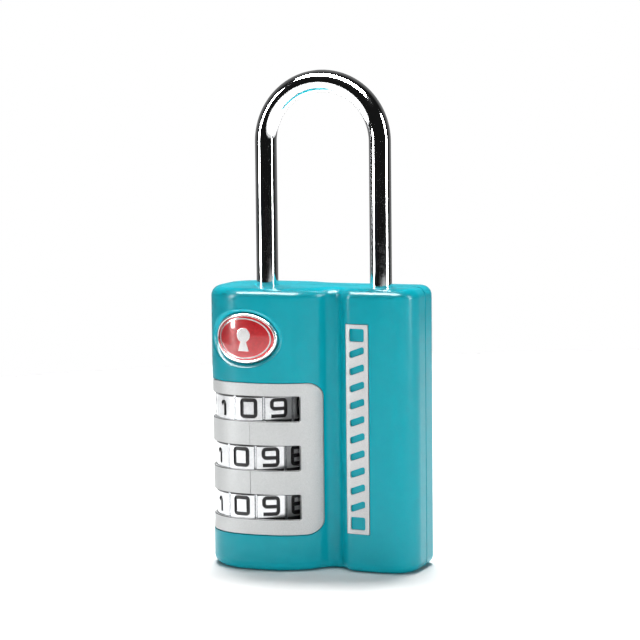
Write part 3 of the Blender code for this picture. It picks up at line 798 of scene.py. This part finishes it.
def badge_trim():
    """A silver line and a plain keyhole on the enamel."""
    line = smooth(badge_ring("badge_line", 0.09, 0.45, 0.19, "badge_silver"), 40)
    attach(line, "housing")

    low, high = BADGE_Z - 3.0, BADGE_Z + 3.0
    glyph = wall_band("badge_keyhole", KEYHOLE_INSET, 0.5, low, high, "badge_silver", step=2.0)
    keep(glyph, prism("keyhole_edge", keyhole(), FRONT_Y, AXIS_Y - 3.0, "badge_silver"))
    soften(glyph, 0.05, 2, where=lambda middle: outer_edge(middle, KEYHOLE_INSET))
    true_normals(glyph, KEYHOLE_INSET, rounded_ends=False)
    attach(glyph, "housing")


def keyhole(steps=28):
    """A round head over a flared foot, in X and Z."""
    head, neck, foot, low = 1.0, 0.42, 0.85, -1.75
    rise = 0.45
    join = math.asin(neck / head)
    points = []
    for i in range(steps + 1):
        t = -math.pi / 2 + join + (2 * math.pi - 2 * join) * i / steps
        points.append((BADGE_X + head * math.cos(t), BADGE_Z + rise + head * math.sin(t)))
    points += [(BADGE_X - foot, BADGE_Z + low), (BADGE_X + foot, BADGE_Z + low)]
    return points


def side_inlay():
    """A raised silver ladder, its rungs sloping, with rounded edges."""
    strip = wall_band("inlay_fine", -INLAY_PROUD, 0.22, *INLAY_Z, "fascia_silver", step=2.0)
    keep(strip, box("inlay_edge", (INLAY_X[0], -FAR, 0), (INLAY_X[1], -1, FAR)))
    rungs = 12
    rail = 0.55
    slope = 0.8
    pitch = (INLAY_Z[1] - INLAY_Z[0] - rail) / rungs
    left, right = INLAY_X[0] + rail, INLAY_X[1] - rail
    for n in range(rungs):
        low = INLAY_Z[0] + rail + n * pitch
        high = low + pitch - rail
        lift = 0.0 if n in (0, rungs - 1) else slope
        corners = ((left, low), (right, low + lift), (right, high), (left, high - lift))
        cut(strip, prism("inlay_gap", rounded(corners, 0.28), FRONT_Y, 0.0))
    soften(strip, EDGE_SOFT, 3, where=lambda middle: outer_edge(middle, -INLAY_PROUD))
    true_normals(strip, -INLAY_PROUD, rounded_ends=False)
    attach(strip, "housing")
    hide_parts("side_inlay")


def rounded(points, radius, steps=5, closed=True):
    """Rounds the corners of a flat path."""
    count = len(points)
    made = []
    for i, point in enumerate(points):
        here = Vector(point)
        if not closed and i in (0, count - 1):
            made.append(tuple(here))
            continue
        before, after = Vector(points[i - 1]) - here, Vector(points[(i + 1) % count]) - here
        corner = before.angle(after)
        if corner > math.radians(172):
            made.append(tuple(here))
            continue
        first, last = not closed and i == 1, not closed and i == count - 2
        room = min(before.length * (0.9 if first else 0.48), after.length * (0.9 if last else 0.48))
        reach = min(radius / math.tan(corner / 2), room)
        size = reach * math.tan(corner / 2)
        before.normalize()
        after.normalize()
        middle = here + (before + after).normalized() * size / math.sin(corner / 2)
        start, end = here + before * reach - middle, here + after * reach - middle
        sweep = start.angle_signed(end)
        for k in range(steps + 1):
            cos_t, sin_t = math.cos(-sweep * k / steps), math.sin(-sweep * k / steps)
            x, y = start.x * cos_t - start.y * sin_t, start.x * sin_t + start.y * cos_t
            made.append((middle.x + x, middle.y + y))
    return made


# Dials


def digit_strokes(digit):
    """Strokes of a squared numeral, as (path, closed), with u to the right and v up."""
    a, b = DIGIT_HALF
    ring = ((-a, b), (-a, -b), (a, -b), (a, b))
    return {
        0: [(ring, True)],
        1: [(((-0.55, 0.35), (0.15, b), (0.15, -b)), False)],
        2: [(((-a, b), (a, b), (a, 0.0), (-a, 0.0), (-a, -b), (a, -b)), False)],
        3: [(((-a, b), (a, b), (a, -b), (-a, -b)), False), (((-0.45, 0.0), (a, 0.0)), False)],
        4: [(((-a, b), (-a, -0.15), (a, -0.15)), False), (((0.45, b), (0.45, -b)), False)],
        5: [(((a, b), (-a, b), (-a, 0.1), (a, 0.1), (a, -b), (-a, -b)), False)],
        6: [(((a, b), (-a, b), (-a, -b), (a, -b), (a, 0.1), (-a, 0.1)), False)],
        7: [(((-a, b), (a, b), (-0.15, -b)), False)],
        8: [(ring, True), (((-a, 0.0), (a, 0.0)), False)],
        9: [(((-a, -b), (a, -b), (a, b), (-a, b), (-a, -0.1), (a, -0.1)), False)],
    }[digit]


def stroke_cutter(path, closed, heading, half_width=0.265, floor_half=0.20, depth=0.22):
    """Engraving tool for one stroke, wrapped round a dial that stands on the origin."""
    corner = half_width + 0.04 if closed or len(path) == 3 else 0.42
    points = [Vector(p) for p in rounded(path, corner, 5, closed)]
    count = len(points)
    loops = []
    for i, here in enumerate(points):
        before = points[i - 1] if closed or i else None
        after = points[(i + 1) % count] if closed or i < count - 1 else None
        arrive = (here - before).normalized() if before is not None else (after - here).normalized()
        leave = (after - here).normalized() if after is not None else arrive
        along = (arrive + leave).normalized()
        side = Vector((-along.y, along.x))
        stretch = 1.0 / max(side.dot(Vector((-arrive.y, arrive.x))), 0.5)
        if not closed and i in (0, count - 1):
            here = here + along * (half_width * 0.4) * (1 if i else -1)
        loop = []
        for reach, lift in ((half_width, 0.3), (half_width, 0.0), (floor_half, -depth)):
            loop.append((here + side * reach * stretch, lift))
        for reach, lift in ((floor_half, -depth), (half_width, 0.0), (half_width, 0.3)):
            loop.append((here - side * reach * stretch, lift))
        wrapped = []
        for spot, lift in loop:
            nx, ny = facing(heading + math.degrees(spot.x / DIAL_R))
            wrapped.append(((DIAL_R + lift) * nx, (DIAL_R + lift) * ny, spot.y))
        loops.append(wrapped)
    return skin("stroke", loops, "digit_black", ring=closed)


def dial_wheel():
    """One wheel on the origin: engraved numerals, with a groove half-way between neighbours, and its edges
    painted black as shade.
    """
    half = DIAL_HEIGHT / 2
    edge = []
    for t in np.linspace(0, math.pi / 2, 5):
        edge.append((DIAL_R - DIAL_BEVEL * (1 - math.sin(t)), half - DIAL_BEVEL * (1 - math.cos(t))))
    low, high = DIAL_LINES
    profile = [(radius, -z) for radius, z in edge] + [(DIAL_R, low), (DIAL_R, high)]
    profile += [(radius, z) for radius, z in reversed(edge)] + [(DIAL_BORE_R, half), (DIAL_BORE_R, -half)]
    wheel = turned("wheel", (0.0, 0.0), profile, "dial_chrome", "digit_black", steps=180, ring=True)
    # Rim faces beyond DIAL_LINES take the black material: painted shade for the gap and shadow under the
    # fascia's window edges.
    for face in wheel.data.polygons:
        middle = face.center / MM
        if math.hypot(middle.x, middle.y) > DIAL_R - DIAL_BEVEL and not low < middle.z < high:
            face.material_index = 1
    for n in range(DIGITS):
        cut(wheel, groove_cutter(DIGIT_TURN * (n + 0.5), half))
        for path, closed in digit_strokes(n):
            cut(wheel, stroke_cutter(path, closed, -DIGIT_TURN * n), crossing=n in (6, 9))
    return wheel


def groove_cutter(heading, half, width=0.42, depth=0.30, floor_half=0.06):
    half_section = ((floor_half, -depth), (width / 2, 0.0), (width, 0.2))
    section = [(-along, lift) for along, lift in reversed(half_section)] + list(half_section)
    points = []
    for along, lift in section:
        nx, ny = facing(heading + math.degrees(along / DIAL_R))
        points.append(((DIAL_R + lift) * nx, (DIAL_R + lift) * ny))
    return prism("groove", points, -half - 1, half + 1, "dial_chrome", along="Z")


def dials():
    pattern = dial_wheel()
    for n, (z, rest) in enumerate(zip(DIAL_Z, DIAL_REST_DEG)):
        mesh = pattern.data.copy()
        obj = bpy.data.objects.new(f"dial_fine_{n + 1}", mesh)
        bpy.context.scene.collection.objects.link(obj)
        turn = Matrix.Rotation(math.radians(rest), 4, "Z")
        mesh.transform(Matrix.Translation(Vector((DIAL_X, AXIS_Y, z)) * MM) @ turn)
        co = coordinates(obj) - (DIAL_X, AXIS_Y, z)
        reach = np.hypot(co[:, 0], co[:, 1])
        exact = np.column_stack([co[:, 0] / reach, co[:, 1] / reach, np.zeros(len(co))])
        on_rim = np.abs(reach - DIAL_R) < 0.004
        set_normals(obj, exact, on_rim & (np.abs(co[:, 2]) < DIAL_HEIGHT / 2 - DIAL_BEVEL + 0.01))
        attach(obj, f"dial_{n + 1}")
        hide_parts(f"dial_wheel_{n + 1}")
    bpy.data.objects.remove(pattern)


# Shackle


def shackle_path(radius, centre_x, spring_z, steps=96, chamfer=0.35):
    """Points up the long leg, round the bow and down the short leg: (x, z, turn, thinner)."""

    def leg_end(x, end_z, turn):
        made = []
        for k in range(4):
            t = math.pi / 2 * k / 3
            made.append((x, end_z + chamfer * (1 - math.cos(t)), turn, chamfer * (1 - math.sin(t))))
        return made

    path = leg_end(LONG_LEG_X, LONG_LEG_END, 0.0)
    for i in range(steps + 1):
        t = math.pi * i / steps
        path.append((centre_x + radius * math.cos(t), spring_z + radius * math.sin(t), t, 0.0))
    return path + leg_end(SHORT_LEG_X, SHORT_LEG_END, math.pi)[::-1]


def shackle(sides=48):
    radius = (LONG_LEG_X - SHORT_LEG_X) / 2
    centre_x = (LONG_LEG_X + SHORT_LEG_X) / 2
    spring_z = SHACKLE_HIGH.z - WIRE_R - radius
    loops = []
    for x, z, turn, thinner in shackle_path(radius, centre_x, spring_z):
        loop = []
        for k in range(sides):
            a = 2 * math.pi * k / sides
            out = (WIRE_R - thinner) * math.cos(a)
            y = AXIS_Y + (WIRE_R - thinner) * math.sin(a)
            loop.append((x + out * math.cos(turn), y, z + out * math.sin(turn)))
        loops.append(loop)
    bow = skin("shackle_fine", loops, "chrome")
    depth = LATCH_BITE + FIT
    floor_x = SHORT_LEG_X + WIRE_R - depth
    mouth_x = SHORT_LEG_X + WIRE_R + 0.2
    low, high = LATCH_Z - 1.35, LATCH_Z + 1.2
    notch = ((floor_x, low), (mouth_x, low - depth - 0.2), (mouth_x, high), (floor_x, high))
    cut(bow, prism("latch_notch", notch, AXIS_Y - WIRE_R - 0.5, AXIS_Y + WIRE_R + 0.5, "chrome"))
    flat_x = LONG_LEG_X + WIRE_R - STOP_FLAT_DEPTH
    low, high = STOP_FLAT_Z
    cut(bow, box("stop_flat", (flat_x, AXIS_Y - 2, low), (flat_x + 2, AXIS_Y + 2, high), "chrome"))

    co = coordinates(bow)
    on_leg = co[:, 2] <= spring_z
    bow_turn = np.arctan2(np.maximum(co[:, 2] - spring_z, 0.0), co[:, 0] - centre_x)
    turn = np.where(on_leg, np.where(co[:, 0] > centre_x, 0.0, math.pi), bow_turn)
    middle_x = centre_x + radius * np.cos(turn)
    middle_z = np.where(on_leg, co[:, 2], spring_z + radius * np.sin(turn))
    exact = np.column_stack([co[:, 0] - middle_x, co[:, 1] - AXIS_Y, co[:, 2] - middle_z])
    reach = np.maximum(np.linalg.norm(exact, axis=1), 1e-9)
    set_normals(bow, exact / reach[:, None], np.abs(reach - WIRE_R) < 0.004)
    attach(bow, "shackle")
    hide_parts("shackle")


# Back and base


def rivets(shank=0.65):
    for n in (1, 2, 3):
        low, high = node_box(f"housing_rivet_{n}")
        x, z = (low.x + high.x) / 2, (low.z + high.z) / 2
        head = (high.x - low.x) / 2
        top = high.y
        profile = (
            (shank, low.y),
            (shank, top - 0.4),
            (head, top - 0.36),
            (head, top - 0.12),
            (head * 0.93, top - 0.05),
            (head * 0.80, top - 0.01),
            (head * 0.45, top),
            (head * 0.40, top - 0.07),
            (head * 0.30, top - 0.10),
        )
        loops = []
        for radius, y in profile:
            loops.append([(x + dx, y, z + dz) for dx, dz, _ in circle(0.0, 0.0, 0.0, radius, 48)])
        rivet = smooth(skin(f"rivet_fine_{n}", loops, "steel"), 30)
        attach(rivet, "housing")
        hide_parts(f"housing_rivet_{n}")


def carried_over():
    """Gives every node of the frame that still shows its procedural material."""
    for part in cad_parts.values():
        for socket in part.material_slots:
            wanted = socket.material.name.split(".")[0] if socket.material else ""
            socket.material = MATERIALS.get(wanted, MATERIALS["steel"])


# Lights, floor and camera


def aim(obj, place, target):
    direction = Vector(target) - Vector(place)
    obj.location = Vector(place) * MM
    obj.rotation_euler = direction.to_track_quat("-Z", "Y").to_euler()


def softbox(name, heading, distance, height, width, tall, power, target=(0.0, 0.0, 30.0)):
    """An area light at a heading round the object, sizes in millimetres and power in watts."""
    nx, ny = facing(heading)
    light = bpy.data.lights.new(name, "AREA")
    light.shape = "RECTANGLE"
    light.size = width * MM
    light.size_y = tall * MM
    light.energy = power
    obj = bpy.data.objects.new(name, light)
    bpy.context.scene.collection.objects.link(obj)
    aim(obj, (distance * nx, distance * ny, height), target)
    return obj


def lights():
    """Soft boxes for the reflections alone, soft boxes for the rest of the light, and the surroundings."""
    gleam = (
        softbox("strip_left", -55, 400, 130, 90, 258, 1.5),
        softbox("strip_right", 90, 380, 130, 90, 258, 1.6),
        softbox("overhead", -10, 170, 410, 520, 170, 17.0, target=(0.0, 0.0, 20.0)),
    )
    for light in gleam:
        light.visible_diffuse = False
    fills = (
        softbox("fill_left", -50, 280, 26, 220, 48, 0.12),
        softbox("fill_front", 12, 300, 26, 220, 48, 0.18),
        softbox("fill_right", 62, 280, 26, 220, 48, 0.24),
        softbox("behind", 195, 170, 600, 300, 200, 9.0, target=(0.0, 0.0, 0.0)),
    )
    for light in fills:
        light.visible_glossy = False
    for light in gleam + fills:
        light.visible_camera = False
    surroundings()


def surroundings(ahead=0.008, behind=0.22, shade=0.05):
    """White to the camera, faint to diffuse rays; in reflections darker ahead of the lock than behind."""
    world = bpy.data.worlds.new("studio")
    bpy.context.scene.world = world
    world.use_nodes = True
    tree = world.node_tree
    sky = tree.nodes["Background"]
    sky.inputs["Color"].default_value = (1.0, 1.0, 1.0, 1.0)
    direction = node(tree, "ShaderNodeTexCoord", -900, 0)
    facing_back = node(tree, "ShaderNodeVectorMath", -700, 0, operation="DOT_PRODUCT")
    facing_back.inputs[1].default_value = (*[-c for c in facing(20.0)], 0.0)
    tree.links.new(direction.outputs["Generated"], facing_back.inputs[0])
    paper = node(tree, "ShaderNodeMapRange", -500, 0)
    for socket, value in (("From Min", 0.1), ("From Max", 0.9), ("To Min", ahead), ("To Max", behind)):
        paper.inputs[socket].default_value = value
    tree.links.new(facing_back.outputs["Value"], paper.inputs["Value"])
    path = node(tree, "ShaderNodeLightPath", -500, 300)
    soft = node(tree, "ShaderNodeMix", -250, 100, data_type="FLOAT")
    soft.inputs[3].default_value = shade
    tree.links.new(path.outputs["Is Diffuse Ray"], soft.inputs[0])
    tree.links.new(paper.outputs["Result"], soft.inputs[2])
    seen = node(tree, "ShaderNodeMix", -50, 100, data_type="FLOAT")
    seen.inputs[3].default_value = 1.0
    tree.links.new(path.outputs["Is Camera Ray"], seen.inputs[0])
    tree.links.new(soft.outputs[0], seen.inputs[2])
    tree.links.new(seen.outputs[0], sky.inputs["Strength"])


def floor():
    """A pale disc that reaches further towards the camera and to its right than the other way."""
    centre, radius, thickness = (127.0, -59.0), 360.0, 2.0
    disc = turned("floor", centre, ((radius, -thickness), (radius, 0.0)), "floor_white", steps=96)


def camera():
    heading, pitch, roll = math.radians(20.14), math.radians(5.66), math.radians(-0.6)
    distance, focal = 340.0, 139.2
    target = Vector((0.41, AXIS_Y, 34.05))
    ahead = Vector((math.sin(heading), -math.cos(heading), 0.0))
    back = ahead * math.cos(pitch) + Vector((0.0, 0.0, math.sin(pitch)))
    level = Vector((math.cos(heading), math.sin(heading), 0.0))
    upright = back.cross(level)
    right = math.cos(roll) * level + math.sin(roll) * upright
    up = math.cos(roll) * upright - math.sin(roll) * level
    lens = bpy.data.cameras.new("camera")
    lens.lens = focal
    lens.sensor_width = 36.0
    obj = bpy.data.objects.new("camera", lens)
    bpy.context.scene.collection.objects.link(obj)
    pose = Matrix((right, up, back)).transposed().to_4x4()
    pose.translation = (target + distance * back) * MM
    obj.matrix_world = pose
    bpy.context.scene.camera = obj


camera()
floor()
lights()
front_shell()
back_shell()
dial_fascia()
window_cheek()
badge_bezel()
badge_enamel()
badge_trim()
side_inlay()
dials()
shackle()
rivets()
carried_over()
bpy.context.scene.view_settings.view_transform = "Standard"
